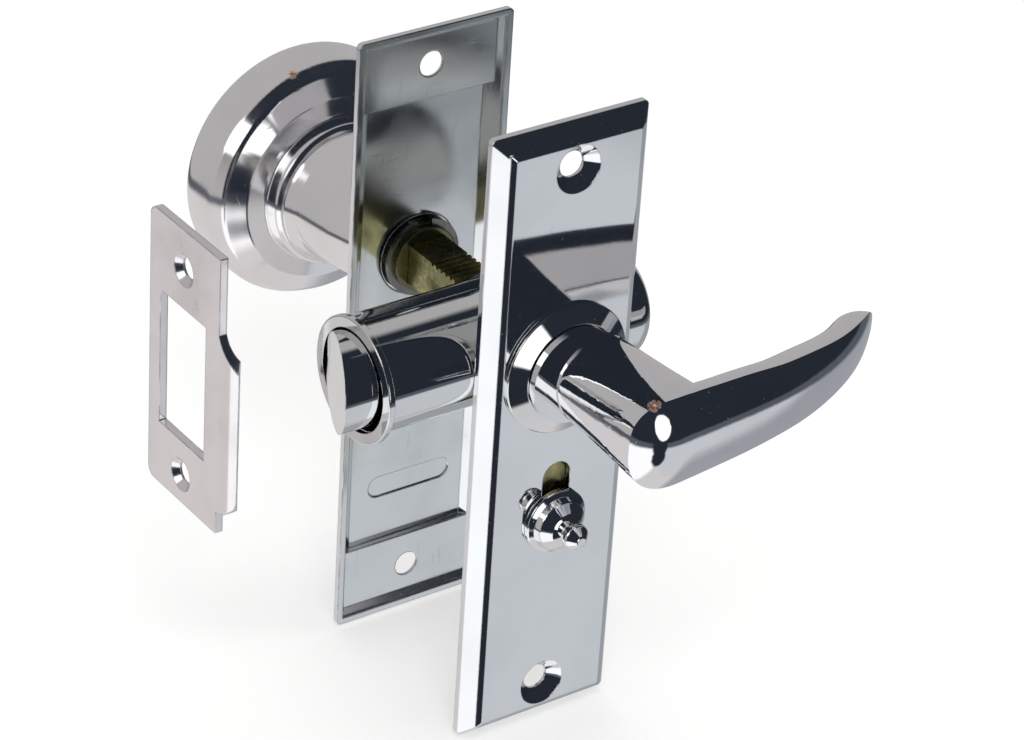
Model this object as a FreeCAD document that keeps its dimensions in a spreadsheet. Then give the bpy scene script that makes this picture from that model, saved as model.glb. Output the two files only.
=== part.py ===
import FreeCAD, Part
import math
import os
import re
import Sketcher

# A tubular door latch set: front plate with lever and snib, back plate with knob,
# latch tube with a spring bolt between them, and the strike plate standing by itself.
# Frame: the spindle axis crosses the tube axis at the origin, +X runs back along the
# tube, +Y from the lever side to the knob side, +Z is up. Millimetres.

os.makedirs("parts", exist_ok=True)
doc = FreeCAD.newDocument("latch")
vec = FreeCAD.Vector

SIZES = [
    # both cover plates
    ("plate_height", 125.4),
    ("plate_width", 33.4),
    ("plate_above", 48.2),
    ("plate_depth", 4.25),
    ("plate_rim", 1.2),
    ("plate_bevel", 3.4),
    ("plate_fold", 1.2),
    ("plate_fold_rise", 0.5),
    ("plate_wall", 1.3),
    ("back_gap", 29.3),
    ("screw_inset", 8.2),
    ("screw_hole", 5.0),
    ("screw_head", 9.4),
    ("end_pad_above", 33.0),
    ("end_pad_below", 62.0),
    # collars round the two shanks
    ("collar_dia", 26.0),
    ("collar_top", 19.2),
    ("collar_rim", 0.8),
    ("collar_rise", 2.2),
    ("collar_sleeve", 1.55),
    ("running_gap", 0.05),
    # lever and what sits on its shank
    ("lever_shank", 14.0),
    ("lever_reach", 58.7),
    ("lever_height", 18.2),
    ("blade_depth", 8.0),
    ("neck_width", 18.4),
    ("clip_groove", 0.6),
    ("clip_play", 0.06),
    ("clip_width", 0.8),
    ("clip_wall", 1.9),
    ("stop_disc", 17.0),
    ("stop_lug", 24.0),
    ("stop_thick", 1.0),
    # knob
    ("knob_dia", 50.2),
    ("knob_face", 79.4),
    ("knob_shank", 13.2),
    ("knob_neck", 22.0),
    # square spindle
    ("spindle_side", 8.0),
    ("spindle_front", 24.0),
    ("spindle_back", 44.0),
    ("socket_gap", 0.1),
    # snib
    ("snib_rest", 32.5),
    ("snib_travel", 8.0),
    ("snib_stem", 5.6),
    ("snib_disc", 13.0),
    ("snib_ball", 5.2),
    ("snib_reach", 9.0),
    ("slide_width", 12.0),
    ("slide_thick", 1.0),
    ("keeper_thick", 0.6),
    ("keeper_rise", 2.3),
    # latch tube and bolt
    ("tube_dia", 22.0),
    ("tube_wall", 0.8),
    ("tube_to_plate", 0.05),
    ("tube_front", 34.0),
    ("tube_back", 24.0),
    ("flange_lip", 1.0),
    ("flange_thick", 1.2),
    ("flange_drop", 0.5),
    ("bolt_play", 1.2),
    ("bolt_throw", 7.5),
    ("web_thick", 1.0),
    ("hub_drum", 12.4),
    ("hub_journal", 13.0),
    ("lobe_play", 0.9),
    ("tail_play", 1.4),
    ("spring_dia", 14.0),
    ("spring_wire", 0.8),
    # strike plate
    ("strike_height", 57.0),
    ("strike_width", 24.0),
    ("strike_thick", 1.6),
    ("strike_hole_height", 27.8),
    ("strike_hole_width", 15.8),
    ("strike_screws", 43.0),
]
V = dict(SIZES)
sheet = doc.addObject("Spreadsheet::Sheet", "sizes")
for row, (name, value) in enumerate(SIZES, 1):
    sheet.set("A%d" % row, name)
    sheet.set("B%d" % row, "%g" % value)
    sheet.setAlias("B%d" % row, name)
doc.recompute()

PIECES = []


def ex(text):
    """Text with every size name pointed at its cell."""
    swap = lambda m: "sizes." + m.group(0) if m.group(0) in V else m.group(0)
    return re.sub(r"[a-z][a-z_]*", swap, text)


def new_body(label, base=None, turn=None):
    """An empty body, set down at base and turned about the Z axis by turn degrees."""
    body = doc.addObject("PartDesign::Body", label)
    body.Label = label
    if turn:
        body.Placement = FreeCAD.Placement(vec(0, 0, 0), FreeCAD.Rotation(vec(0, 0, 1), turn))
    for axis, text in zip("xyz", base or ()):
        if text != "0":
            body.setExpression("Placement.Base." + axis, ex(text))
    PIECES.append((label, body))
    return body


def new_sketch(body, label, plane, offset="0"):
    """A sketch on one of the body's own planes, moved along the plane's normal."""
    sk = body.newObject("Sketcher::SketchObject", label)
    own = [o for o in body.Origin.OriginFeatures if o.Role == plane][0]
    sk.AttachmentSupport = [(own, "")]
    sk.MapMode = "FlatFace"
    if offset != "0":
        sk.setExpression("AttachmentOffset.Base.z", ex(offset))
    return sk


def bind(sk, constraint, text):
    number = sk.addConstraint(constraint)
    sk.setExpression("Constraints[%d]" % number, ex(text))


def pin(sk, geo, pos, across, up, start=(1.0, 1.0)):
    bind(sk, Sketcher.Constraint("DistanceX", -1, 1, geo, pos, start[0]), across)
    bind(sk, Sketcher.Constraint("DistanceY", -1, 1, geo, pos, start[1]), up)


def polygon(sk, corners):
    """A closed outline; each corner is held by its own two distances."""
    first = sk.GeometryCount
    count = len(corners)
    turn = 2 * math.pi / count
    start = [vec(9 * math.cos(turn * k), 9 * math.sin(turn * k), 0) for k in range(count)]
    for k in range(count):
        sk.addGeometry(Part.LineSegment(start[k], start[(k + 1) % count]), False)
    for k in range(count):
        after = first + (k + 1) % count
        sk.addConstraint(Sketcher.Constraint("Coincident", first + k, 2, after, 1))
    for k, (across, up) in enumerate(corners):
        pin(sk, first + k, 1, across, up)


def rectangle(sk, left, right, low, high):
    polygon(sk, [(left, low), (right, low), (right, high), (left, high)])


def circle(sk, across, up, radius):
    geo = sk.addGeometry(Part.Circle(vec(0, 0, 0), vec(0, 0, 1), 1.0), False)
    pin(sk, geo, 3, across, up)
    bind(sk, Sketcher.Constraint("Radius", geo, 1.0), radius)


def slot(sk, ends, radius, start):
    """A round-ended slot between two centres."""
    (ax, ay), (bx, by), r = start
    lie = math.atan2(ay - by, ax - bx) - math.pi / 2
    up = vec(0, 0, 1)
    side = vec(r * math.cos(lie), r * math.sin(lie), 0)
    a, b = vec(ax, ay, 0), vec(bx, by, 0)
    one = sk.addGeometry(Part.ArcOfCircle(Part.Circle(a, up, r), lie, lie + math.pi), False)
    two = sk.addGeometry(Part.ArcOfCircle(Part.Circle(b, up, r), lie + math.pi, lie + 2 * math.pi), False)
    near = sk.addGeometry(Part.LineSegment(b + side, a + side), False)
    far = sk.addGeometry(Part.LineSegment(a - side, b - side), False)
    for g, p, h, q in ((one, 1, near, 2), (one, 2, far, 1), (two, 1, far, 2), (two, 2, near, 1)):
        sk.addConstraint(Sketcher.Constraint("Tangent", g, p, h, q))
    sk.addConstraint(Sketcher.Constraint("Equal", one, two))
    pin(sk, one, 3, *ends[0], start[0])
    pin(sk, two, 3, *ends[1], start[1])
    bind(sk, Sketcher.Constraint("Radius", one, r), radius)


def grow(body, sk, length, reverse=False, both=False):
    """A pad: along the sketch normal, against it, or half to each side."""
    f = body.newObject("PartDesign::Pad", sk.Label + "_pad")
    f.Profile = sk
    f.setExpression("Length", ex(length))
    f.Reversed = reverse
    if both:
        f.Midplane = True
    sk.Visibility = False
    return f


def sink(body, sk, length=None, reverse=False, both=False):
    """A pocket, against the sketch normal unless reversed; no length cuts right through."""
    f = body.newObject("PartDesign::Pocket", sk.Label + "_pocket")
    f.Profile = sk
    f.Reversed = reverse
    if length is None:
        f.Type = "ThroughAll"
        f.Midplane = True
    else:
        f.setExpression("Length", ex(length))
        if both:
            f.Midplane = True
    sk.Visibility = False
    return f


def spin(body, sk, axis="V_Axis"):
    f = body.newObject("PartDesign::Revolution", sk.Label + "_turn")
    f.Profile = sk
    f.ReferenceAxis = (sk, [axis])
    f.Angle = 360.0
    sk.Visibility = False
    return f


def skin(body, first, others, cut=False):
    kind = "PartDesign::SubtractiveLoft" if cut else "PartDesign::AdditiveLoft"
    f = body.newObject(kind, first.Label + "_loft")
    f.Profile = first
    f.Sections = others
    f.Ruled = True
    return f


def soften(body, radius, chosen):
    """Round the edges that the test picks from the body's shape so far."""
    doc.recompute()
    base = body.Tip
    names = ["Edge%d" % (k + 1) for k, e in enumerate(base.Shape.Edges) if chosen(e)]
    if not names:
        raise RuntimeError("no edge to round on " + body.Label)
    f = body.newObject("PartDesign::Fillet", body.Label + "_round")
    f.Base = (base, names)
    f.Radius = radius
    return f


def rings(*spots):
    """A test for round edges about the Y axis, by radius and place."""
    def chosen(e):
        if not isinstance(e.Curve, Part.Circle):
            return False
        at = (e.Curve.Radius, e.Curve.Center.y)
        return any(abs(at[0] - r) < 0.02 and abs(at[1] - y) < 0.02 for r, y in spots)
    return chosen


# cover plates: a pressed pan, rim plane at the body's own y = 0, show face at -plate_depth


def corners(e):
    """A test for the rim's upright corner edges and the slanted edges between two bevels."""
    ends = [v.Point for v in e.Vertexes]
    return len(ends) == 2 and abs(ends[0].y - ends[1].y) > 0.3


def level(y):
    """A test for edges that lie in the plane at y."""
    return lambda e: abs(e.BoundBox.YMin - y) < 0.01 and abs(e.BoundBox.YMax - y) < 0.01


def pan(label, gap, turn, hole, pads=None):
    body = new_body(label, ("0", gap, "0"), turn)
    left, right = "-plate_width/2", "plate_width/2"
    low, high = "plate_above-plate_height", "plate_above"

    def frame(name, inset, depth):
        sk = new_sketch(body, label + name, "XZ_Plane", depth)
        rectangle(sk, "%s+(%s)" % (left, inset), "%s-(%s)" % (right, inset),
                  "%s+(%s)" % (low, inset), "%s-(%s)" % (high, inset))
        return sk

    grow(body, frame("_rim", "0", "0"), "plate_rim")
    # the bevel has a steep outer part and a flatter fold next to the face
    fold, fold_depth = "plate_bevel-plate_fold", "plate_depth-plate_fold_rise"
    skin(body, frame("_bevel_foot", "0", "plate_rim"), [frame("_bevel_top", fold, fold_depth)])
    skin(body, frame("_fold_foot", fold, fold_depth), [frame("_face", "plate_bevel", "plate_depth")])
    soften(body, 1.0, corners)
    soften(body, 0.45, level(-V["plate_depth"]))
    # the inside follows the outside at one wall thickness
    slant = "sqrt(plate_bevel*plate_bevel+(plate_depth-plate_rim)*(plate_depth-plate_rim))"
    rise = "(plate_depth-plate_rim)/plate_bevel"
    knee = "(plate_rim+plate_wall*%s-plate_wall*%s/plate_bevel)" % (rise, slant)
    floor = "(plate_depth-plate_wall)"
    inset = "(plate_wall+(%s-%s)/(%s))" % (floor, knee, rise)
    sink(body, frame("_inside", "plate_wall", "0"), knee, reverse=True)
    skin(body, frame("_inside_knee", "plate_wall", knee), [frame("_floor", inset, floor)], cut=True)
    # metal behind each screw hole gives the countersink its depth: a round dimple in the
    # front plate, a pad across the whole end in the back plate
    for name, up in (("_top", "plate_above-screw_inset"),
                     ("_bottom", "plate_above-plate_height+screw_inset")):
        sk = new_sketch(body, label + name + "_backing", "XZ_Plane", floor)
        if pads is None:
            circle(sk, "0", up, "screw_head/2+0.5")
        else:
            edge = "(plate_width/2-plate_wall-0.4)"
            rectangle(sk, "-" + edge, edge, *pads[name])
        grow(body, sk, "(screw_head-screw_hole)/2+0.5-plate_wall", reverse=True)
        sk = new_sketch(body, label + name + "_hole", "XZ_Plane", "plate_depth")
        circle(sk, "0", up, "screw_hole/2")
        sink(body, sk, "plate_depth")
        wide = new_sketch(body, label + name + "_sink", "XZ_Plane", "plate_depth")
        circle(wide, "0", up, "screw_head/2")
        narrow = new_sketch(body, label + name + "_seat", "XZ_Plane", "plate_depth-(screw_head-screw_hole)/2")
        circle(narrow, "0", up, "screw_hole/2")
        skin(body, wide, [narrow], cut=True)
    sk = new_sketch(body, label + "_shank_hole", "XZ_Plane", "plate_depth")
    circle(sk, "0", "0", hole)
    sink(body, sk, "plate_depth")
    return body, floor


# the lever plate stands just clear of the tube
FRONT_GAP = "(tube_dia/2+tube_to_plate)"
FRONT_FACE = "(" + FRONT_GAP + "+plate_depth)"
BACK_FACE = "(back_gap+plate_depth)"
LEVER_HOLE = "lever_shank/2+collar_sleeve+running_gap*2"
KNOB_HOLE = "knob_shank/2+collar_sleeve+running_gap*2"
body, floor = pan("front_plate", "-" + FRONT_GAP, 0, LEVER_HOLE)
sk = new_sketch(body, "snib_slot", "XZ_Plane", "plate_depth")
top = -V["snib_rest"] + V["snib_travel"] + 1.3
slot(sk, [("0", "-snib_rest+snib_travel+1.3"), ("0", "-snib_rest")], "snib_stem/2+0.2",
     ((0.0, top), (0.0, -V["snib_rest"]), V["snib_stem"] / 2 + 0.2))
sink(body, sk, "plate_depth")

body, floor = pan("back_plate", "back_gap", 180, KNOB_HOLE, {
    "_top": ("end_pad_above", "plate_above-plate_wall-0.4"),
    "_bottom": ("plate_above-plate_height+plate_wall+0.4", "-end_pad_below"),
})
sk = new_sketch(body, "back_relief", "XZ_Plane", floor)
slot(sk, [("-7.5", "-50"), ("6.5", "-50")], "2.25", ((-7.5, -50.0), (6.5, -50.0), 2.25))
sink(body, sk, "0.25", reverse=True)

# collars: a coned ring on the plate with a sleeve down to the plate's inner floor


def collar(label, at, turn, shank):
    body = new_body(label, ("0", at, "0"), turn)
    sk = new_sketch(body, label + "_profile", "XY_Plane")
    bore = shank + "/2+running_gap"
    polygon(sk, [
        (bore, "plate_wall"),
        (shank + "/2+collar_sleeve", "plate_wall"),
        (shank + "/2+collar_sleeve", "0"),
        ("collar_dia/2", "0"),
        ("collar_dia/2", "-collar_rim"),
        ("collar_top/2", "-collar_rise"),
        (bore, "-collar_rise"),
    ])
    spin(body, sk)
    outer, top = V["collar_dia"] / 2, V["collar_top"] / 2
    soften(body, 0.3, rings((outer, -V["collar_rim"]), (top, -V["collar_rise"])))
    return body


collar("lever_collar", "-" + FRONT_FACE, 0, "lever_shank")
collar("knob_collar", BACK_FACE, 180, "knob_shank")

# circlips: open rings in the shank grooves, on the inside of each plate

CLIP_TOP = "(plate_depth-plate_wall-stop_thick-0.2)"


def circlip(label, at, turn, shank):
    body = new_body(label, ("0", at, "0"), turn)
    sk = new_sketch(body, label + "_ring", "XZ_Plane")
    inner = shank + "/2-clip_groove"
    circle(sk, "0", "0", inner + "+clip_wall")
    circle(sk, "0", "0", inner)
    grow(body, sk, "clip_width", reverse=True)
    sk = new_sketch(body, label + "_gap", "XZ_Plane")
    rectangle(sk, "-1.6", "1.6", inner + "-2", inner + "+clip_wall+1")
    sink(body, sk, "clip_width")
    return body


circlip("lever_circlip", "-" + FRONT_GAP + "-" + CLIP_TOP, 0, "lever_shank")
circlip("knob_circlip", "back_gap+" + CLIP_TOP, 180, "knob_shank")

# lever stop plate: a stamped disc on the shank; its lug meets the snib slide

body = new_body("lever_stop_plate", ("0", "-" + FRONT_GAP + "-" + CLIP_TOP, "0"))
sk = new_sketch(body, "stop_disc_outline", "XZ_Plane")
circle(sk, "0", "0", "stop_disc/2")
circle(sk, "0", "0", "lever_shank/2")
grow(body, sk, "stop_thick")
sk = new_sketch(body, "stop_lug_outline", "XZ_Plane")
LUG = []
for reach, swing in (("(stop_disc/2-1)", 12.0), ("(stop_disc/2-1)", 25.0), ("stop_lug/2", 25.0),
                     ("stop_lug/2", 18.5), ("stop_lug/2", 12.0)):
    LUG.append(("%s*%.5f" % (reach, math.sin(math.radians(swing))),
                "-%s*%.5f" % (reach, math.cos(math.radians(swing)))))
polygon(sk, LUG)
grow(body, sk, "stop_thick")

# square spindle, with the row of fine notches behind the tube

body = new_body("spindle")
half = "spindle_side/2"
sk = new_sketch(body, "spindle_section", "XZ_Plane", "spindle_front")
rectangle(sk, "-" + half, half, "-" + half, half)
grow(body, sk, "spindle_front+spindle_back", reverse=True)
sk = new_sketch(body, "spindle_notch", "YZ_Plane")
polygon(sk, [
    ("12.3", half + "-0.55"), ("12.7", half + "-0.55"), ("13.0", half + "+0.2"), ("12.0", half + "+0.2"),
])
f = sink(body, sk, "spindle_side+2", both=True)
rep = body.newObject("PartDesign::LinearPattern", "spindle_notches")
rep.Originals = [f]
rep.Direction = (sk, ["H_Axis"])
rep.Length = 9.0
rep.Occurrences = 7
body.Tip = rep
doc.recompute()
f = body.newObject("PartDesign::Chamfer", "spindle_ends")
ends = []
for k, e in enumerate(rep.Shape.Edges):
    near, far = e.BoundBox.YMin, e.BoundBox.YMax
    if far - near < 1e-6 and (abs(near + V["spindle_front"]) < 1e-6 or abs(far - V["spindle_back"]) < 1e-6):
        ends.append("Edge%d" % (k + 1))
f.Base = (rep, ends)
f.Size = 0.6

# outside knob, turned in one piece with its shank

body = new_body("outside_knob")
sk = new_sketch(body, "knob_profile", "XY_Plane")
groove = "back_gap+" + CLIP_TOP
polygon(sk, [
    ("0", "back_gap"),
    ("knob_shank/2", "back_gap"),
    ("knob_shank/2", groove + "-clip_width"),
    ("knob_shank/2-clip_groove-clip_play", groove + "-clip_width"),
    ("knob_shank/2-clip_groove-clip_play", groove),
    ("knob_shank/2", groove),
    ("knob_shank/2", BACK_FACE + "+collar_rise+0.3"),
    ("knob_neck/2-1.7", BACK_FACE + "+collar_rise+0.3"),
    ("knob_neck/2-1.7", BACK_FACE + "+4.6"),
    ("knob_neck/2+0.4", "knob_face-33.4"),
    ("knob_neck/2+1.6", "knob_face-24.4"),
    ("knob_dia/2-11.8", "knob_face-22.4"),
    ("knob_dia/2-11.5", "knob_face-21.7"),
    ("knob_dia/2-11", "knob_face-21.7"),
    ("knob_dia/2-10.3", "knob_face-20.8"),
    ("knob_dia/2-9.9", "knob_face-18"),
    ("knob_dia/2-6", "knob_face-17.5"),
    ("knob_dia/2-2", "knob_face-15.4"),
    ("knob_dia/2-0.3", "knob_face-12.6"),
    ("knob_dia/2", "knob_face-4.6"),
    ("knob_dia/2-4.4", "knob_face-0.6"),
    ("0", "knob_face"),
])
spin(body, sk)
R, F = V["knob_dia"] / 2, V["knob_face"]
NECK = V["knob_neck"] / 2
BRIM = V["back_gap"] + V["plate_depth"] + V["collar_rise"] + 0.3
soften(body, 4.0, rings((R, F - 4.6)))
soften(body, 3.0, rings((R - 0.3, F - 12.6), (R - 4.4, F - 0.6)))
soften(body, 1.6, rings((R - 2, F - 15.4)))
soften(body, 0.8, rings((R - 6, F - 17.5)))
soften(body, 0.6, rings((NECK - 1.7, BRIM)))
soften(body, 0.5, rings((R - 9.9, F - 18), (R - 10.3, F - 20.8)))
soften(body, 0.15, rings((R - 11, F - 21.7), (R - 11.5, F - 21.7)))
soften(body, 6.0, rings((NECK + 0.4, F - 33.4)))
sk = new_sketch(body, "knob_socket", "XZ_Plane", "-back_gap")
socket = "(spindle_side+socket_gap)/2"
rectangle(sk, "-" + socket, socket, "-" + socket, socket)
sink(body, sk, "spindle_back-back_gap+2")

# snib: button outside, slide, keeper and leaf inside the front plate

body = new_body("snib_button", ("0", "-" + FRONT_FACE, "-snib_rest"))
sk = new_sketch(body, "snib_profile", "XY_Plane")
polygon(sk, [
    ("0", "plate_wall+0.1+slide_thick"),
    ("snib_stem/2", "plate_wall+0.1+slide_thick"),
    ("snib_stem/2", "-0.05"),
    ("snib_disc/2", "-0.05"),
    ("snib_disc/2", "-1.0"),
    ("snib_disc/2-1.1", "-1.6"),
    ("snib_disc/2-1.5", "-2.9"),
    ("snib_ball/2+0.7", "-4.4"),
    ("snib_ball/2-0.8", "-5.0"),
    ("snib_ball/2-0.8", "-5.3"),
    ("snib_ball/2", "-6.5"),
    ("snib_ball/2", "-snib_reach+1.6"),
    ("snib_ball/2-1.6", "-snib_reach"),
    ("0", "-snib_reach"),
])
spin(body, sk)
BALL = V["snib_ball"] / 2
soften(body, 0.6, rings((BALL, -6.5), (BALL - 1.6, -V["snib_reach"])))
soften(body, 0.9, rings((BALL, -V["snib_reach"] + 1.6)))
soften(body, 0.7, rings((V["snib_disc"] / 2 - 1.5, -2.9), (BALL + 0.7, -4.4)))
soften(body, 0.35, rings((V["snib_disc"] / 2, -1.0)))

SLIDE_TOP = "(plate_wall+0.1)"
body = new_body("snib_slide", ("0", "-" + FRONT_FACE + "+" + SLIDE_TOP, "-snib_rest"))
sk = new_sketch(body, "slide_outline", "XZ_Plane")
half = "slide_width/2"
polygon(sk, [
    ("-" + half, "-11.5"), (half, "-11.5"), (half, "12.1"), ("1.5", "12.1"),
    ("1.5", "15.6"), ("-1.5", "15.6"), ("-1.5", "12.1"), ("-" + half, "12.1"),
])
grow(body, sk, "slide_thick", reverse=True)
sk = new_sketch(body, "slide_stem_hole", "XZ_Plane")
circle(sk, "0", "0", "snib_stem/2")
sink(body, sk, "slide_thick")

body = new_body("snib_keeper", ("0", "-" + FRONT_FACE + "+plate_wall", "-snib_rest"))
sk = new_sketch(body, "keeper_section", "XY_Plane", "-11.5")
inner = "slide_width/2+0.4"
outer = "slide_width/2+0.4+keeper_thick"
foot = "slide_width/2+5"
polygon(sk, [
    ("-(%s)" % foot, "0"), ("-(%s)" % inner, "0"), ("-(%s)" % inner, "keeper_rise-keeper_thick"),
    (inner, "keeper_rise-keeper_thick"), (inner, "0"), (foot, "0"), (foot, "keeper_thick"),
    (outer, "keeper_thick"), (outer, "keeper_rise"), ("-(%s)" % outer, "keeper_rise"),
    ("-(%s)" % outer, "keeper_thick"), ("-(%s)" % foot, "keeper_thick"),
])
grow(body, sk, "18")

# the leaf bows between the slide's back and the keeper
body = new_body("snib_spring", ("0", "-%s+%s+slide_thick" % (FRONT_FACE, SLIDE_TOP), "-snib_rest"))
sk = new_sketch(body, "leaf_section", "YZ_Plane")
gap = "(keeper_rise-keeper_thick-0.1-slide_thick)"
polygon(sk, [
    ("0.05", "-9"), ("0.05+0.2", "-9"), ("%s-0.01" % gap, "-4.6"), ("%s-0.01" % gap, "-3.4"),
    ("0.05+0.2", "1"), ("0.05", "1"), ("%s-0.21" % gap, "-3.4"), ("%s-0.21" % gap, "-4.6"),
])
grow(body, sk, "5", both=True)

# latch tube: rounded and closed at the back, with side holes for the hub

TUBE_IN = "(tube_dia/2-tube_wall)"
FLANGE = "(tube_dia/2+flange_lip)"
BOLT = "(" + TUBE_IN + "-bolt_play)"
LOBE = "(" + TUBE_IN + "-lobe_play)"
TAIL = "(" + TUBE_IN + "-tail_play)"
body = new_body("latch_tube")
sk = new_sketch(body, "tube_profile", "XY_Plane")
polygon(sk, [
    ("-tube_front", TUBE_IN), ("-tube_front", "tube_dia/2"), ("tube_back", "tube_dia/2"),
    ("tube_back", "0"), ("tube_back-tube_wall", "0"), ("tube_back-tube_wall", TUBE_IN),
])
spin(body, sk, "H_Axis")


def ring_x(radius, x):
    def chosen(e):
        if not isinstance(e.Curve, Part.Circle):
            return False
        return abs(e.Curve.Radius - radius) < 0.02 and abs(e.Curve.Center.x - x) < 0.02
    return chosen


soften(body, 3.6, ring_x(V["tube_dia"] / 2, V["tube_back"]))
soften(body, 2.8, ring_x(V["tube_dia"] / 2 - V["tube_wall"], V["tube_back"] - V["tube_wall"]))
sk = new_sketch(body, "hub_holes", "XZ_Plane")
circle(sk, "0", "0", "hub_journal/2+running_gap*2")
sink(body, sk)

body = new_body("latch_flange", ("0", "0", "-flange_drop"))
sk = new_sketch(body, "flange_profile", "XY_Plane")
polygon(sk, [
    ("-tube_front-flange_thick", BOLT + "+0.8"), ("-tube_front-flange_thick", FLANGE),
    ("-tube_front", FLANGE), ("-tube_front", BOLT + "+0.8"),
])
spin(body, sk, "H_Axis")
soften(body, 0.3, ring_x(V["tube_dia"] / 2 + V["flange_lip"], -V["tube_front"] - V["flange_thick"]))

# latch bolt: round head with one slanted nose, thicker guide behind it

body = new_body("latch_bolt")
nose = "(-tube_front-1-bolt_throw)"
sk = new_sketch(body, "bolt_profile", "XY_Plane")
polygon(sk, [
    (nose, "0"), (nose, BOLT), ("-24", BOLT), ("-24", TUBE_IN + "-running_gap"),
    ("-18.1", TUBE_IN + "-running_gap"), ("-18.1", "0"),
])
spin(body, sk, "H_Axis")
sk = new_sketch(body, "bolt_slant", "XY_Plane")
polygon(sk, [
    (nose + "-2", "-" + BOLT), (nose, "-" + BOLT), (nose + "+bolt_throw", BOLT),
    (nose + "+bolt_throw", BOLT + "+2"), (nose + "-2", BOLT + "+2"),
])
sink(body, sk, "2*" + BOLT + "+4", both=True)
sk = new_sketch(body, "rivet_hole", "YZ_Plane", "-18.1")
circle(sk, "0", "0", "1.5")
sink(body, sk, "4")

# bolt tail: the U-shaped piece that the hub's lobes pull back

body = new_body("bolt_tail")
sk = new_sketch(body, "tail_box", "XY_Plane")
rectangle(sk, "-18.1", "7+web_thick", "-3.2-web_thick", "3.2+web_thick")
grow(body, sk, "2*" + TAIL, both=True)
sk = new_sketch(body, "tail_inside", "XY_Plane")
rectangle(sk, "-18.1+web_thick", "7", "-3.2", "3.2")
sink(body, sk)
sk = new_sketch(body, "tail_window", "XZ_Plane")
rectangle(sk, "-14", "6.5", "-hub_drum/2-0.3", "hub_drum/2+0.3")
sink(body, sk)
sk = new_sketch(body, "tail_bridges", "XZ_Plane")
rectangle(sk, "-1.4", "0.6", TAIL + "-1.8", TAIL)
rectangle(sk, "-1.4", "0.6", "-" + TAIL, "1.8-" + TAIL)
grow(body, sk, "6.4+web_thick", both=True)
sk = new_sketch(body, "tail_rivet_hole", "YZ_Plane", "-18.1")
circle(sk, "0", "0", "1.5")
sink(body, sk, "web_thick", reverse=True)

body = new_body("bolt_rivet")
sk = new_sketch(body, "rivet_profile", "XY_Plane")
polygon(sk, [
    ("-22.1", "0"), ("-22.1", "1.5"), ("-18.1+web_thick", "1.5"), ("-18.1+web_thick", "0"),
])
spin(body, sk, "H_Axis")

# latch hub: drum with two lobes, journals in the tube, square bore for the spindle

HUB_END = "(tube_dia/2-running_gap*2)"
body = new_body("latch_hub")
sk = new_sketch(body, "hub_profile", "XY_Plane")
polygon(sk, [
    ("0", "-" + HUB_END), ("hub_journal/2", "-" + HUB_END), ("hub_journal/2", "-7.8"), ("hub_drum/2", "-7.8"),
    ("hub_drum/2", "7.8"), ("hub_journal/2", "7.8"), ("hub_journal/2", HUB_END), ("0", HUB_END),
])
spin(body, sk)
LEAN = math.radians(22.0)
for name, side in (("upper", 1), ("lower", -1)):
    sk = new_sketch(body, name + "_lobe", "XZ_Plane")
    tip = "(" + LOBE + "-1.3)"
    sin, cos = math.sin(LEAN), math.cos(LEAN)
    # the lobe's flanks leave its round tip straight towards the drum
    foot = 4.5
    corners = [
        ("-%s*%.5f-1.3*%.5f" % (tip, sin, cos), "%s*%.5f-1.3*%.5f" % (tip, cos, sin)),
        ("-%s*%.5f+1.3*%.5f" % (tip, sin, cos), "%s*%.5f+1.3*%.5f" % (tip, cos, sin)),
        ("%.5f" % (-foot * sin + 0.9 * cos), "%.5f" % (foot * cos + 0.9 * sin)),
        ("%.5f" % (-foot * sin - 0.9 * cos), "%.5f" % (foot * cos - 0.9 * sin)),
    ]
    if side < 0:
        corners = [(across, "-(%s)" % up) for across, up in corners]
    polygon(sk, corners)
    grow(body, sk, "5.6", both=True)
    sk = new_sketch(body, name + "_lobe_tip", "XZ_Plane")
    up = "%s*%.5f" % (tip, cos)
    circle(sk, "-%s*%.5f" % (tip, sin), up if side > 0 else "-" + up, "1.3")
    grow(body, sk, "5.6", both=True)
sk = new_sketch(body, "hub_bore", "XZ_Plane")
rectangle(sk, "-" + socket, socket, "-" + socket, socket)
sink(body, sk)

# bolt spring: a coil between the tail and the closed end of the tube

helix = doc.addObject("Part::Helix", "spring_path")
helix.setExpression("Radius", ex("(spring_dia-spring_wire)/2"))
helix.setExpression("Height", ex("tube_back-tube_wall-7-web_thick-spring_wire"))
helix.setExpression("Pitch", ex("(tube_back-tube_wall-7-web_thick-spring_wire)/6"))
ring = doc.addObject("Part::Circle", "spring_section")
ring.setExpression("Radius", ex("spring_wire/2"))
ring.Placement = FreeCAD.Placement(vec(0, 0, 0), FreeCAD.Rotation(vec(1, 0, 0), 90))
ring.setExpression("Placement.Base.x", ex("(spring_dia-spring_wire)/2"))
coil = doc.addObject("Part::Sweep", "bolt_spring")
coil.Label = "bolt_spring"
coil.Sections = [ring]
coil.Spine = (helix, ["Edge1"])
coil.Solid = True
coil.Frenet = True
coil.Placement = FreeCAD.Placement(vec(0, 0, 0), FreeCAD.Rotation(vec(0, 1, 0), 90))
coil.setExpression("Placement.Base.x", ex("7+web_thick+spring_wire/2"))
PIECES.append(("bolt_spring", coil))

# strike plate: bent strip with a lip, standing by itself in front of the bolt

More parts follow.
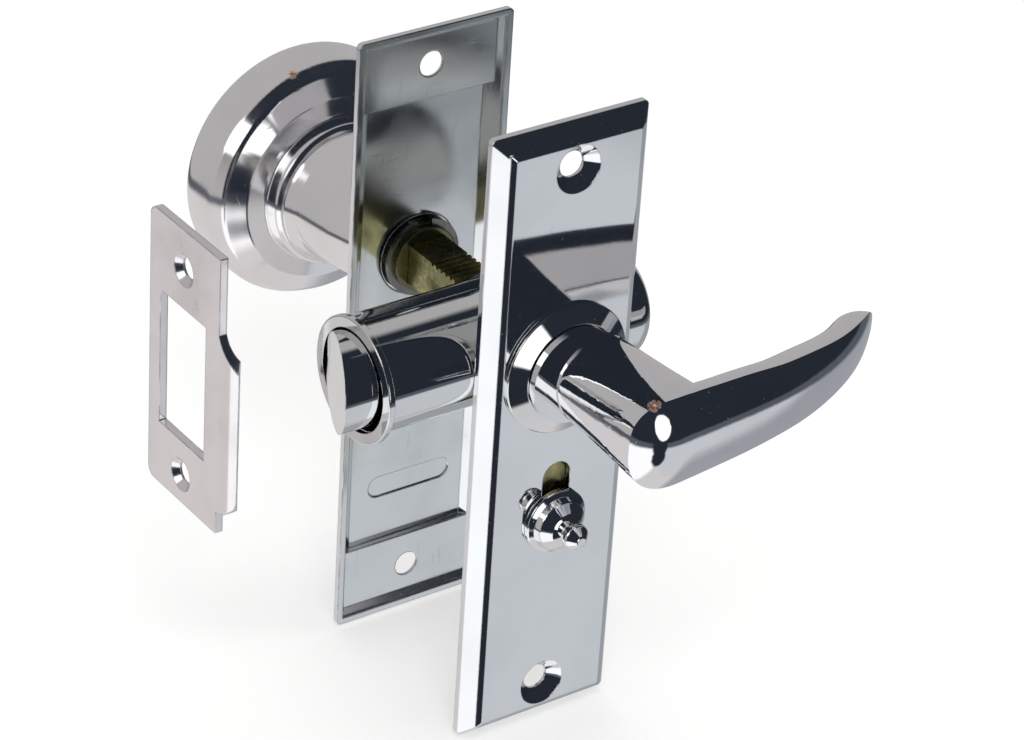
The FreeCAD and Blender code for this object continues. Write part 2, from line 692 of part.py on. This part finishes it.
body = new_body("strike_plate", ("-53.6", "27.7", "-8.2"))
sk = new_sketch(body, "strike_section", "XY_Plane", "-strike_height/2+1.1")
curl = []
BEND = 5.0
for k in range(9):
    a = math.radians(6.6 * k)
    curl.append((a, math.sin(a), 1 - math.cos(a)))
edge = "(-strike_width/2-0.4)"
front = [("%.5f" % (BEND * c), "%s-%.5f" % (edge, BEND * s)) for a, s, c in curl]
rear = []
for a, s, c in curl:
    rear.append(("%.5f+strike_thick*%.5f" % (BEND * c, math.cos(a)),
                 "%s-%.5f+strike_thick*%.5f" % (edge, BEND * s, math.sin(a))))
polygon(sk, [("0", "strike_width/2-0.4")] + front + rear[::-1] + [("strike_thick", "strike_width/2-0.4")])
grow(body, sk, "strike_height")
FLAT_EDGE = V["strike_width"] / 2 - 0.4
soften(body, 2.0, lambda e: e.BoundBox.YMin > FLAT_EDGE - 0.01 and e.BoundBox.ZLength < 0.01)
sk = new_sketch(body, "strike_lip_ends", "YZ_Plane", "-1")
high = "(strike_height/2+1.1)"
polygon(sk, [
    ("-strike_width/2-9", high + "+1"), (edge, high + "+1"), (edge, high + "-15.4"),
    (edge + "-1.0", high + "-17.4"),
    (edge + "-2.8", high + "-20.2"), (edge + "-4.2", high + "-22.6"), ("-strike_width/2-9", high + "-25"),
])
sink(body, sk, "12", reverse=True)
sk = new_sketch(body, "strike_lip_foot", "YZ_Plane", "-1")
low = "(-strike_height/2+1.1)"
polygon(sk, [
    ("-strike_width/2-9", low + "-1"), (edge, low + "-1"), (edge, low + "+4.5"), (edge + "-2.2", low + "+5"),
    (edge + "-3.6", low + "+6.5"), (edge + "-4.2", low + "+9"), ("-strike_width/2-9", low + "+13"),
])
sink(body, sk, "12", reverse=True)
sk = new_sketch(body, "strike_hole", "YZ_Plane", "-1")
half = "strike_hole_height/2"
rectangle(sk, "-strike_hole_width/2", "strike_hole_width/2", "-%s-0.3" % half, half + "-0.3")
sink(body, sk, "4", reverse=True)
for name, up in (("upper", "strike_screws/2"), ("lower", "-strike_screws/2")):
    sk = new_sketch(body, "strike_%s_hole" % name, "YZ_Plane", "-1")
    circle(sk, "0", up, "2.1")
    sink(body, sk, "4", reverse=True)
    wide = new_sketch(body, "strike_%s_sink" % name, "YZ_Plane")
    circle(wide, "0", up, "3.3")
    narrow = new_sketch(body, "strike_%s_seat" % name, "YZ_Plane", "1.2")
    circle(narrow, "0", up, "2.1")
    skin(body, wide, [narrow], cut=True)

# lever handle: the neck and blade are a free shape made from measured stations; the
# shank, base ring, clip groove and square socket are plain primitives joined to it


def closed_curve(points):
    curve = Part.BSplineCurve()
    curve.interpolate(Points=points, PeriodicFlag=True)
    return Part.Wire([curve.toShape()])


def open_curve(points):
    curve = Part.BSplineCurve()
    curve.interpolate(Points=points)
    return curve.toShape()


TALL = V["lever_height"] / 18.2
LONG = V["lever_reach"] / 58.7
DEEP = V["blade_depth"] / 8.0
WIDE = V["neck_width"] / 18.4

neck = []
for y, high, square in ((-19.2, 8.0, 2.05), (-23.0, 8.1, 2.1), (-29.0, 8.35, 2.2), (-36.0, 8.7, 2.4),
                        (-43.0, 9.0, 2.7), (-48.0, 9.1, 2.8), (-54.0, 9.1, 2.8)):
    ring = []
    for k in range(40):
        t = 2 * math.pi * k / 40
        c, s = math.cos(t), math.sin(t)
        x = 9.2 * WIDE * math.copysign(abs(c) ** (2 / square), c)
        z = high * TALL * math.copysign(abs(s) ** (2 / square), s)
        ring.append(vec(-6.7 + 9.2 * WIDE + x, y, z))
    neck.append(closed_curve(ring))
neck_form = doc.addObject("Part::Feature", "lever_neck_form")
neck_form.Shape = Part.makeLoft(neck, True, False)

# x, y of the crisp edge, half height, depth of the rounded back behind it
BLADE = [
    (0.5, -45.4, 8.5, 8.0), (5.0, -45.3, 8.95, 8.0), (10.0, -45.1, 8.74, 8.0), (20.0, -44.35, 8.16, 8.0),
    (30.0, -43.1, 7.3, 7.9), (40.0, -40.65, 6.36, 7.6), (46.0, -38.2, 5.65, 6.8), (50.0, -36.1, 5.2, 6.4),
    (54.0, -33.6, 4.5, 6.2), (56.4, -31.9, 3.7, 5.4), (57.8, -30.8, 2.6, 3.9), (58.5, -30.2, 1.2, 1.9),
]
walls = []
for k, (x, y, high, deep) in enumerate(BLADE):
    before, after = BLADE[max(k - 1, 0)], BLADE[min(k + 1, len(BLADE) - 1)]
    along = vec(after[0] - before[0], after[1] - before[1], 0).normalize()
    back = vec(-along.y, along.x, 0)
    mid = vec(x * LONG, y, 0)
    high, deep = high * TALL, deep * DEEP
    top, low = mid + vec(0, 0, high), mid - vec(0, 0, high)
    far = back * -6.0
    round_back = [mid + back * (deep * math.sin(t)) + vec(0, 0, high * math.cos(t))
                  for t in [math.pi * j / 12 for j in range(13)]]
    walls.append(Part.Wire([
        Part.makeLine(low + far, top + far), Part.makeLine(top + far, top),
        open_curve(round_back), Part.makeLine(low, low + far),
    ]))
blade_form = doc.addObject("Part::Feature", "lever_blade_form")
blade_form.Shape = Part.makeLoft(walls, True, False)

# the show side: an arc across the lever carried along the curve of its front
FRONT = [
    (-13.0, -30.0), (-9.5, -39.2), (-6.7, -43.9), (-3.5, -46.9), (0.0, -48.1), (5.0, -48.0), (10.0, -47.5),
    (20.0, -46.4), (30.0, -44.8), (40.0, -41.9), (50.0, -37.1), (55.0, -33.6), (58.0, -31.0), (61.0, -28.2),
    (66.0, -23.5),
]
grid = []
for x, y in FRONT:
    row = []
    for k in range(13):
        z = -13.0 + 26.0 * k / 12
        row.append(vec(x * LONG if x > 0 else x, y + 17.0 - math.sqrt(17.0 ** 2 - z * z), z * TALL))
    grid.append(row)
sheet_face = Part.BSplineSurface()
sheet_face.interpolate(grid)
front_form = doc.addObject("Part::Feature", "lever_front_form")
front_form.Shape = sheet_face.toShape().extrude(vec(0, -40, 0))

# the stations are measured for a neck that starts 19.2 mm out, on the base ring's outer face
NECK_START = V["tube_dia"] / 2 + V["tube_to_plate"] + V["plate_depth"] + V["collar_rise"] + 0.15 + 1.55
for form in (neck_form, blade_form, front_form):
    form.Placement = FreeCAD.Placement(vec(0, 19.2 - NECK_START, 0), FreeCAD.Rotation())


def rod(label, radius, near, far):
    """A round bar on the Y axis from y = -near to y = -far."""
    f = doc.addObject("Part::Cylinder", label)
    f.setExpression("Radius", ex(radius))
    f.setExpression("Height", ex("%s-(%s)" % (far, near)))
    f.Placement = FreeCAD.Placement(vec(0, 0, 0), FreeCAD.Rotation(vec(1, 0, 0), 90))
    f.setExpression("Placement.Base.y", ex("-(%s)" % near))
    return f


def joined(kind, label, parts):
    f = doc.addObject(kind, label)
    if kind == "Part::Cut":
        f.Base, f.Tool = parts
    else:
        f.Shapes = parts
    return f


ring_at = FRONT_FACE + "+collar_rise+0.15"
shank = rod("lever_shank_rod", "lever_shank/2", FRONT_GAP + "+0.3", ring_at + "+1")
base = rod("lever_base_ring", "lever_shank/2+2.3", ring_at, ring_at + "+1.55")
clip_in = rod("lever_clip_inner", "lever_shank/2-clip_groove-clip_play", FRONT_GAP, FRONT_FACE)
clip_at = FRONT_GAP + "+" + CLIP_TOP
clip_out = rod("lever_clip_outer", "lever_shank/2+1", clip_at + "-clip_width", clip_at)
clip_cut = joined("Part::Cut", "lever_clip_groove", (clip_out, clip_in))
socket_box = doc.addObject("Part::Box", "lever_socket")
for prop, text in (("Length", "spindle_side+socket_gap"), ("Height", "spindle_side+socket_gap"),
                   ("Width", "spindle_front+1"), ("Placement.Base.x", "-(spindle_side+socket_gap)/2"),
                   ("Placement.Base.y", "-spindle_front-1"),
                   ("Placement.Base.z", "-(spindle_side+socket_gap)/2")):
    socket_box.setExpression(prop, ex(text))
solid = joined("Part::MultiFuse", "lever_solid", [neck_form, blade_form])
trimmed = joined("Part::Cut", "lever_trimmed", (solid, front_form))
whole = joined("Part::MultiFuse", "lever_whole", [trimmed, base, shank])
grooved = joined("Part::Cut", "lever_grooved", (whole, clip_cut))
handle = joined("Part::Cut", "lever_handle", (grooved, socket_box))
handle.Label = "lever_handle"
PIECES.append(("lever_handle", handle))

doc.recompute()
for obj in doc.Objects:
    if "Invalid" in obj.State or "Error" in obj.State:
        raise RuntimeError("%s did not build: %s" % (obj.Label, obj.State))
for label, obj in PIECES:
    if obj.Shape.isNull() or not obj.Shape.isValid():
        raise RuntimeError(label + " has no valid shape")
    obj.Shape.exportStep("parts/%s.step" % label)
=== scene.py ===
import math

import bpy
from mathutils import Matrix, Vector


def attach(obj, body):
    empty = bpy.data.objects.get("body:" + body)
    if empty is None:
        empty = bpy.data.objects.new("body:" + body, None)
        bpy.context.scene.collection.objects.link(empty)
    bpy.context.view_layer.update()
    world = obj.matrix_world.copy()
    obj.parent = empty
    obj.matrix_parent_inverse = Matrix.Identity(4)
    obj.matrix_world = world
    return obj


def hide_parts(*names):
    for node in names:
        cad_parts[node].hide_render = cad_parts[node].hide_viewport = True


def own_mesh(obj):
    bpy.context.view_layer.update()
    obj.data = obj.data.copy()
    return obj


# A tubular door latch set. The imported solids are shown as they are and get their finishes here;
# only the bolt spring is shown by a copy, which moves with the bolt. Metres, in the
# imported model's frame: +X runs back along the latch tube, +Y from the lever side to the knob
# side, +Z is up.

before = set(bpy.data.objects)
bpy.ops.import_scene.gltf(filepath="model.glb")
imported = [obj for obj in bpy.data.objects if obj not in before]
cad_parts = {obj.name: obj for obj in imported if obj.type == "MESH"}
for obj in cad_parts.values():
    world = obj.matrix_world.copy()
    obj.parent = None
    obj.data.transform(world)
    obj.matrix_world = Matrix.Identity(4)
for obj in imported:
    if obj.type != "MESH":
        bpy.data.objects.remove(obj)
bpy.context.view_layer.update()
scene = bpy.context.scene

# the camera, fitted to the plates, the tube and the knob in the photograph
CAMERA_AT = Vector((-0.37071, -0.49712, 0.36143))
CAMERA_RIGHT = Vector((0.820212, -0.569272, 0.056397))
CAMERA_UP = Vector((0.252958, 0.449345, 0.856797))
CAMERA_BACK = Vector((-0.513093, -0.688489, 0.51256))
LENS_MM = 139.1
SENSOR_MM = 36.0
NEAREST = 0.05

camera_data = bpy.data.cameras.new("camera")
camera_data.sensor_width = SENSOR_MM
camera_data.lens = LENS_MM
camera_data.clip_start = NEAREST
camera = bpy.data.objects.new("camera", camera_data)
scene.collection.objects.link(camera)
turn = Matrix((CAMERA_RIGHT, CAMERA_UP, CAMERA_BACK)).transposed()
camera.matrix_world = Matrix.Translation(CAMERA_AT) @ turn.to_4x4()
scene.camera = camera
scene.view_settings.view_transform = "Standard"


class Nodes:
    """Short hand for building a node tree. A value is a number, a vector, a colour or a socket."""

    def __init__(self, tree, coords):
        self.tree = tree
        self.coords = self.add("TexCoord").outputs[coords]

    def add(self, kind, **values):
        """A node with its settings and its inputs, each by name."""
        node = self.tree.nodes.new("ShaderNode" + kind)
        for key, value in values.items():
            if hasattr(node, key):
                setattr(node, key, value)
                continue
            name = key.replace("_", " ")
            socket = next(s for s in node.inputs if s.name == name and s.enabled)
            self.feed(socket, value)
        return node

    def feed(self, socket, value):
        if isinstance(value, bpy.types.NodeSocket):
            self.tree.links.new(value, socket)
        elif socket.type == "RGBA":
            socket.default_value = (*value, 1.0)
        else:
            socket.default_value = value

    def math(self, operation, a, b):
        node = self.add("Math", operation=operation)
        self.feed(node.inputs[0], a)
        self.feed(node.inputs[1], b)
        return node.outputs["Value"]

    def vector_math(self, operation, a, b, result="Vector"):
        node = self.add("VectorMath", operation=operation)
        self.feed(node.inputs[0], a)
        self.feed(node.inputs[1], b)
        return node.outputs[result]

    def total(self, start, *parts):
        """The start with a share of each value added to it."""
        for value, share in parts:
            start = self.math("ADD", self.math("MULTIPLY", value, share), start)
        return start

    def remap(self, value, low, high, to_low=0.0, to_high=1.0, shape="LINEAR"):
        node = self.add("MapRange", interpolation_type=shape, Value=value)
        limits = {"From Min": low, "From Max": high, "To Min": to_low, "To Max": to_high}
        for name, number in limits.items():
            self.feed(node.inputs[name], number)
        return node.outputs["Result"]

    def mix(self, share, a, b):
        """Colour a, with b over it where share is 1."""
        node = self.add("Mix", data_type="RGBA")
        self.feed(node.inputs["Factor"], share)
        for name, value in (("A", a), ("B", b)):
            self.feed(next(s for s in node.inputs if s.name == name and s.type == "RGBA"), value)
        return next(s for s in node.outputs if s.type == "RGBA")

    def noise(self, scale, detail, space=None):
        """Noise by place; scale is in waves per metre."""
        return self.add("TexNoise", Vector=space or self.coords, Scale=scale, Detail=detail).outputs["Fac"]

    def mask(self, scale, detail, low, high, space=None):
        """Noise that is cut to 0 under its low level and to 1 over its high level."""
        return self.remap(self.noise(scale, detail, space), low, high)

    def stretched(self, space, scale, turn=(0.0, 0.0, 0.0)):
        """Coordinates turned (radians) and scaled along each axis; a small scale gives long marks."""
        return self.add("Mapping", Vector=space, Scale=scale, Rotation=turn).outputs["Vector"]

    def along(self, vector, axis):
        return self.add("SeparateXYZ", Vector=vector).outputs[axis]


class Finish(Nodes):
    """A new material, its node tree by the object's own coordinates, and its shader."""

    def __init__(self, name):
        self.material = bpy.data.materials.new(name)
        self.material.use_nodes = True
        super().__init__(self.material.node_tree, "Object")
        self.shader = self.tree.nodes["Principled BSDF"]

    def set(self, **inputs):
        for name, value in inputs.items():
            self.feed(self.shader.inputs[name.replace("_", " ")], value)

    def bump(self, height, strength, distance, normal=None):
        node = self.add("Bump", Height=height, Strength=strength, Distance=distance)
        if normal is not None:
            self.feed(node.inputs["Normal"], normal)
        return node.outputs["Normal"]

    def facing(self):
        return self.add("NewGeometry").outputs["Normal"]


# bright plate: what its marks add to the roughness, and how much of the plate they cover
HAZE_ROUGH = 0.12
HAIR_ROUGH = 0.16
DUST_ROUGH = 0.25
EDGE_ROUGH = 0.14
BARE_ROUGH = 0.18
DUST_COVER = 0.5
# share of the painted edge highlight or painted shade laid over the plate's colour at sharp edges
EDGE_PAINT_SHARE = 0.7
# a dulled patch is this share of the plate's colour
PATCH_SHADE = 0.93
# the plate's slow waviness, and the height of its hairlines
SWELL_SCALE = 38.0
SWELL_HEIGHT = 0.0015
HAIR_STRENGTH = 0.05
HAIR_HEIGHT = 0.0002
# a slow noise pushes the hairlines about by up to this reach, so that they curve
BEND_SCALE = 45.0
BEND_REACH = 0.007
# two crossing sets of hairlines: noise scale, stretch, turn, mask levels
HAIRLINES = (
    (1300.0, (1.0, 0.5, 0.05), (0.5, 0.7, 0.3), 0.66, 0.72),
    (1500.0, (0.05, 0.6, 1.0), (0.4, 0.5, 1.1), 0.67, 0.73),
)
# sharp edges get wear roughness and a painted highlight or painted shade, where the cosine
# between the rounded normal and the flat one falls from the second of these to the first
PAINTED_EDGE_HIGHLIGHT = (0.95, 0.95, 0.93)
PAINTED_EDGE_SHADE = (0.13, 0.135, 0.15)
EDGE_COSINES = (0.80, 0.985)
EDGE_SAMPLES = 6
# the inside of a pressing: the cosines between which a face counts as inside, and its colours:
# a painted reflection, bright below the first height, and painted shade, greyer above the second
INNER_COSINES = (0.1, 0.5)
INNER_PAINTED_LIGHT_HEIGHTS = (-0.010, 0.030)
INNER_PAINTED_REFLECTION = (0.80, 0.815, 0.81)
INNER_PALE = (0.56, 0.595, 0.585)
INNER_GREY = (0.51, 0.545, 0.53)
INNER_ROUGH = 0.075
INNER_HAZE_ROUGH = 0.10
INNER_HAIR_ROUGH = 0.05
# unplated metal, and the width over which the plate ends
BARE_METAL = (0.20, 0.19, 0.11)
BARE_BLEND = 0.0003
# a rust speck starts and is full at these levels of its noise
SPECK_LEVELS = (0.10, 0.45)


def hairlines(n):
    """Fine curved scratches."""
    push = n.add("TexNoise", Vector=n.coords, Scale=BEND_SCALE, Detail=1.0).outputs["Color"]
    push = n.vector_math("MULTIPLY", push, (BEND_REACH, BEND_REACH, BEND_REACH))
    curved = n.vector_math("ADD", n.coords, push)
    first, second = (
        n.mask(scale, detail=2.0, low=low, high=high, space=n.stretched(curved, stretch, turn))
        for scale, stretch, turn, low, high in HAIRLINES
    )
    return n.math("MAXIMUM", first, second)


def edge_wear_and_painted_light(n, rounded):
    """1 in places where the rounded normal leaves the flat one, so at sharp edges, where edges get wear
    roughness and a painted highlight or painted shade.
    """
    bend = n.vector_math("DOT_PRODUCT", rounded, n.facing(), "Value")
    sharp = n.remap(bend, *EDGE_COSINES, to_low=1.0, to_high=0.0)
    return n.math("MULTIPLY", sharp, n.mask(scale=240.0, detail=3.0, low=0.38, high=0.58))


def speck(n, centre, radius):
    """A ragged spot round a point of the object."""
    away = n.vector_math("DISTANCE", n.coords, centre, "Value")
    near = n.remap(away, 0.0, radius, to_low=1.0, to_high=0.0)
    ragged = n.mask(scale=1500.0, detail=3.0, low=0.30, high=0.60)
    return n.remap(n.math("MULTIPLY", near, ragged), *SPECK_LEVELS)


def chrome(name, tint, rough, wave, wear, haze=0.25, edge=0.0, painted_edge_colour=PAINTED_EDGE_HIGHLIGHT, rust=None, bare=None,
           hollow=0):
    """Bright plate with faint waviness, hairlines, dulled patches and dust.

    wave, wear and haze are the strengths of the waviness, the hairlines and the dulled patches.
    edge is the radius over which sharp edges look rounded, and painted_edge_colour the painted
    highlight or painted shade laid on them, besides their wear roughness. rust is one rust speck, as its
    centre, radius and colour. Below the Y given by bare the metal is unplated. Faces that look
    towards +Y (hollow 1) or -Y (hollow -1) are the inside of a pressing; these get a painted
    reflection, bright low down, and painted shade, greyer higher up.
    """
    n = Finish(name)
    patch = n.mask(scale=55.0, detail=4.0, low=0.45, high=0.75)
    lines = hairlines(n)
    dust = n.mask(scale=2600.0, detail=1.0, low=0.765, high=0.82)
    dull = n.total(rough, (patch, haze * HAZE_ROUGH), (lines, wear * HAIR_ROUGH), (dust, DUST_ROUGH))
    base = n.mix(patch, tint, [c * PATCH_SHADE for c in tint])
    metal = n.math("SUBTRACT", 1.0, n.math("MULTIPLY", dust, DUST_COVER))
    soft = None
    if hollow:
        within = n.remap(n.math("MULTIPLY", n.along(n.facing(), "Y"), hollow), *INNER_COSINES)
        # painted reflection low down and painted shade higher up on the inside of a pressing, over its own
        # patchy tone
        painted_shade_share = n.remap(n.along(n.coords, "Z"), *INNER_PAINTED_LIGHT_HEIGHTS)
        inner_tone_and_painted_light = n.mix(painted_shade_share, INNER_PAINTED_REFLECTION, n.mix(patch, INNER_PALE, INNER_GREY))
        base = n.mix(within, base, inner_tone_and_painted_light)
        marks = n.total(INNER_ROUGH, (patch, INNER_HAZE_ROUGH), (lines, INNER_HAIR_ROUGH))
        dull = n.total(dull, (within, marks))
    if edge:
        soft = n.add("Bevel", samples=EDGE_SAMPLES, Radius=edge).outputs["Normal"]
        edge_wear_and_light = edge_wear_and_painted_light(n, soft)
        # painted highlight or painted shade on sharp edges, in the given edge colour
        base = n.mix(n.math("MULTIPLY", edge_wear_and_light, EDGE_PAINT_SHARE), base, painted_edge_colour)
        dull = n.total(dull, (edge_wear_and_light, EDGE_ROUGH))
    if rust:
        centre, radius, colour = rust
        rusted = speck(n, centre, radius)
        base = n.mix(rusted, base, colour)
        metal = n.math("MULTIPLY", metal, n.math("SUBTRACT", 1.0, rusted))
    if bare is not None:
        unplated = n.remap(n.along(n.coords, "Y"), bare - BARE_BLEND, bare, to_low=1.0, to_high=0.0)
        base = n.mix(unplated, base, BARE_METAL)
        dull = n.total(dull, (unplated, BARE_ROUGH))
    swell = n.bump(n.noise(SWELL_SCALE, detail=1.0), wave, SWELL_HEIGHT, soft)
    n.set(
        Base_Color=base,
        Metallic=metal,
        Roughness=dull,
        Normal=n.bump(lines, HAIR_STRENGTH * wear, HAIR_HEIGHT, swell),
    )
    return n.material


def dull_steel(name, dark, light, rough):
    """Unplated metal: clouds between two colours, with a grain that runs along Z."""
    n = Finish(name)
    streak = n.noise(scale=700.0, detail=4.0, space=n.stretched(n.coords, (1.0, 1.0, 0.1)))
    cloud = n.noise(scale=120.0, detail=5.0)
    both = n.total(0.0, (streak, 0.5), (cloud, 0.5))
    n.set(
        Base_Color=n.mix(n.remap(both, low=0.35, high=0.65), dark, light),
        Metallic=1.0,
        Roughness=n.remap(both, low=0.3, high=0.7, to_low=rough * 0.75, to_high=rough * 1.3),
        Normal=n.bump(streak, strength=0.12, distance=0.0004),
    )
    return n.material


def passivated(name, dark, gold, green):
    """Yellow passivate: gold with dark clouds and, more slowly, greener ones."""
    n = Finish(name)
    fine = n.noise(scale=900.0, detail=3.0)
    clouds = n.mask(scale=160.0, detail=5.0, low=0.35, high=0.62)
    greener = n.math("MULTIPLY", n.mask(scale=60.0, detail=2.0, low=0.5, high=0.75), 0.5)
    n.set(
        Base_Color=n.mix(greener, n.mix(clouds, dark, gold), green),
        Metallic=1.0,
        Roughness=n.remap(fine, low=0.3, high=0.7, to_low=0.22, to_high=0.42),
        Normal=n.bump(fine, strength=0.15, distance=0.0003),
    )
    return n.material


# the photograph's two rust specks: centre, radius, colour
LEVER_SPECK = ((-0.00254, -0.04459, 0.00837), 0.0016, (0.30, 0.09, 0.02))
KNOB_SPECK = ((-0.00674, 0.06655, 0.02366), 0.0014, (0.34, 0.12, 0.03))
# the knob's shank is unplated inside the door
KNOB_PLATED_FROM = 0.0365

# sharp edges get a painted highlight, and painted shade on the back plate and the strike plate
PLATE_TINT = (0.83, 0.84, 0.85)
# the insides of the front and back plates get a painted reflection low down and painted shade higher up
COVER = chrome("chrome_cover", PLATE_TINT, rough=0.045, wave=0.015, wear=0.12, haze=0.2, edge=0.00035,
               hollow=1)
BACK = chrome("chrome_back", PLATE_TINT, rough=0.05, wave=0.04, wear=0.14, haze=0.4, edge=0.00045,
              painted_edge_colour=PAINTED_EDGE_SHADE, hollow=-1)
TRIM = chrome("chrome_trim", PLATE_TINT, rough=0.04, wave=0.01, wear=0.15, edge=0.0002)
HANDLE = chrome("chrome_handle", (0.85, 0.85, 0.86), rough=0.035, wave=0.07, wear=0.12, rust=LEVER_SPECK)
KNOB = chrome("chrome_knob", (0.90, 0.89, 0.895), rough=0.08, wave=0.16, wear=0.4, haze=0.7, edge=0.0004,
              rust=KNOB_SPECK, bare=KNOB_PLATED_FROM)
TUBE = chrome("chrome_tube", (0.80, 0.81, 0.81), rough=0.05, wave=0.02, wear=0.2, edge=0.0002)
STRIKE = chrome("chrome_strike", (0.87, 0.835, 0.845), rough=0.14, wave=0.12, wear=0.4, haze=0.9,
                edge=0.0004, painted_edge_colour=PAINTED_EDGE_SHADE)
CLIP = dull_steel("clip_steel", dark=(0.16, 0.165, 0.15), light=(0.34, 0.35, 0.32), rough=0.30)
STEEL = dull_steel("plain_steel", dark=(0.32, 0.32, 0.31), light=(0.60, 0.60, 0.58), rough=0.30)
HUB = dull_steel("hub_metal", dark=(0.30, 0.29, 0.26), light=(0.55, 0.54, 0.50), rough=0.35)
OLIVE = passivated("passivated_steel", dark=(0.15, 0.135, 0.055), gold=(0.46, 0.42, 0.20),
                   green=(0.24, 0.27, 0.12))

# which nodes have which finish
FINISHES = (
    (COVER, ("front_plate",)),
    (BACK, ("back_plate",)),
    (TRIM, ("lever_collar", "knob_collar", "snib_button")),
    (HANDLE, ("lever_handle",)),
    (KNOB, ("outside_knob",)),
    (TUBE, ("latch_tube", "latch_flange", "latch_bolt")),
    (STRIKE, ("strike_plate",)),
    (CLIP, ("lever_circlip", "knob_circlip")),
    (STEEL, ("lever_stop_plate", "snib_keeper", "snib_spring", "bolt_tail", "bolt_rivet", "bolt_spring")),
    (HUB, ("latch_hub",)),
    (OLIVE, ("spindle", "snib_slide")),
)
# edges sharper than this stay sharp under smooth shading
SHARP_ANGLE = math.radians(30.0)

for finish, nodes in FINISHES:
    for node in nodes:
        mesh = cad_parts[node].data
        mesh.materials.clear()
        mesh.materials.append(finish)
        mesh.polygons.foreach_set("use_smooth", [True] * len(mesh.polygons))
        mesh.set_sharp_from_angle(angle=SHARP_ANGLE)
        mesh.update()

# the bolt spring is shown by a copy that moves with the bolt
coil = bpy.data.objects.new("bolt_coil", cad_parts["bolt_spring"].data.copy())
scene.collection.objects.link(coil)
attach(coil, "bolt")
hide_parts("bolt_spring")
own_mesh(coil)

# a pale floor just under the plates, which looks white and still shows the shadow
FLOOR_AT = (0.05, 0.05, -0.0781)
FLOOR_RADIUS = 0.75
FLOOR_COLOUR = (0.86, 0.86, 0.85)
FLOOR_GLOW = 0.42
WHITE = (1.0, 1.0, 1.0)

bpy.ops.mesh.primitive_circle_add(vertices=96, radius=FLOOR_RADIUS, fill_type="NGON", location=FLOOR_AT)
floor = bpy.context.object
floor.name = "floor"
n = Finish("pale_floor")
glow = n.math("MULTIPLY", n.add("LightPath").outputs["Is Camera Ray"], FLOOR_GLOW)
n.set(Base_Color=FLOOR_COLOUR, Roughness=0.7, Emission_Color=WHITE, Emission_Strength=glow)
floor.data.materials.append(n.material)
floor.visible_glossy = False

# soft lamps that face the origin: place, width and height, power in watts
LAMPS = {
    "key": ((-0.35, -0.55, 0.75), (0.35, 0.5), 2.4),
    "side": ((0.75, -0.35, 0.35), (0.3, 0.5), 0.8),
    "top": ((0.1, 0.5, 0.9), (0.5, 0.4), 1.6),
}
for name, (place, (width, height), power) in LAMPS.items():
    data = bpy.data.lights.new(name, "AREA")
    data.shape = "RECTANGLE"
    data.size = width
    data.size_y = height
    data.energy = power
    data.normalize = True
    lamp = bpy.data.objects.new(name, data)
    scene.collection.objects.link(lamp)
    lamp.location = place
    lamp.rotation_euler = (-Vector(place)).to_track_quat("-Z", "Y").to_euler()
    lamp.visible_glossy = False

# the room that the chrome mirrors
NAVY = (0.020, 0.025, 0.036)
WALL = (0.47, 0.455, 0.46)
DUSK = (0.10, 0.11, 0.13)
TABLE = (0.70, 0.675, 0.675)
NEAR_TABLE = (0.62, 0.645, 0.68)
SHADE = (0.36, 0.38, 0.41)
LIT = (1.15, 1.16, 1.18)
SPOT = (1.6, 1.6, 1.6)
FILL = (0.45, 0.45, 0.45)
DOWN = (0.0, 0.0, -1.0)


def layered(n, base, fields):
    """Fields of colour laid over a base, each as its direction, the cosines at which it starts
    and is full, and its colour."""
    for direction, start, full, colour in fields:
        cosine = n.vector_math("DOT_PRODUCT", n.coords, Vector(direction).normalized(), "Value")
        base = n.mix(n.remap(cosine, start, full, shape="SMOOTHSTEP"), base, colour)
    return base


world = bpy.data.worlds.new("studio")
scene.world = world
world.use_nodes = True
world.node_tree.nodes.clear()
n = Nodes(world.node_tree, "Generated")
# dark towards the viewer, pale walls behind the set
room = layered(n, NAVY, [((-0.26, 0.966, 0.0), -0.08, 0.12, WALL)])
# a pale table, brightest on the left and shaded on the right
table = layered(n, TABLE, [
    ((0.50, -0.70, -0.50), 0.80, 0.92, NEAR_TABLE),
    ((0.93, 0.20, -0.62), 0.78, 0.90, SHADE),
    ((-0.62, -0.55, -0.62), 0.86, 0.92, LIT),
])
# the table's dim far edge, two dark things on its near side and two bright lamps
surround = layered(n, room, [
    (DOWN, 0.33, 0.37, DUSK),
    (DOWN, 0.42, 0.47, table),
    ((-0.14, -0.90, -0.40), 0.965, 0.982, NAVY),
    ((-0.12, -0.80, -0.62), 0.975, 0.988, NAVY),
    ((-0.06, -1.0, -0.04), 0.960, 0.973, SPOT),
    ((-0.8, -0.1, 0.45), 0.955, 0.97, SPOT),
])
paths = n.add("LightPath").outputs
seen = n.mix(paths["Is Glossy Ray"], FILL, surround)
seen = n.mix(paths["Is Camera Ray"], seen, WHITE)
seen = n.mix(paths["Is Transmission Ray"], seen, WHITE)
background = n.add("Background", Color=seen, Strength=1.0)
n.add("OutputWorld", Surface=background.outputs["Background"])
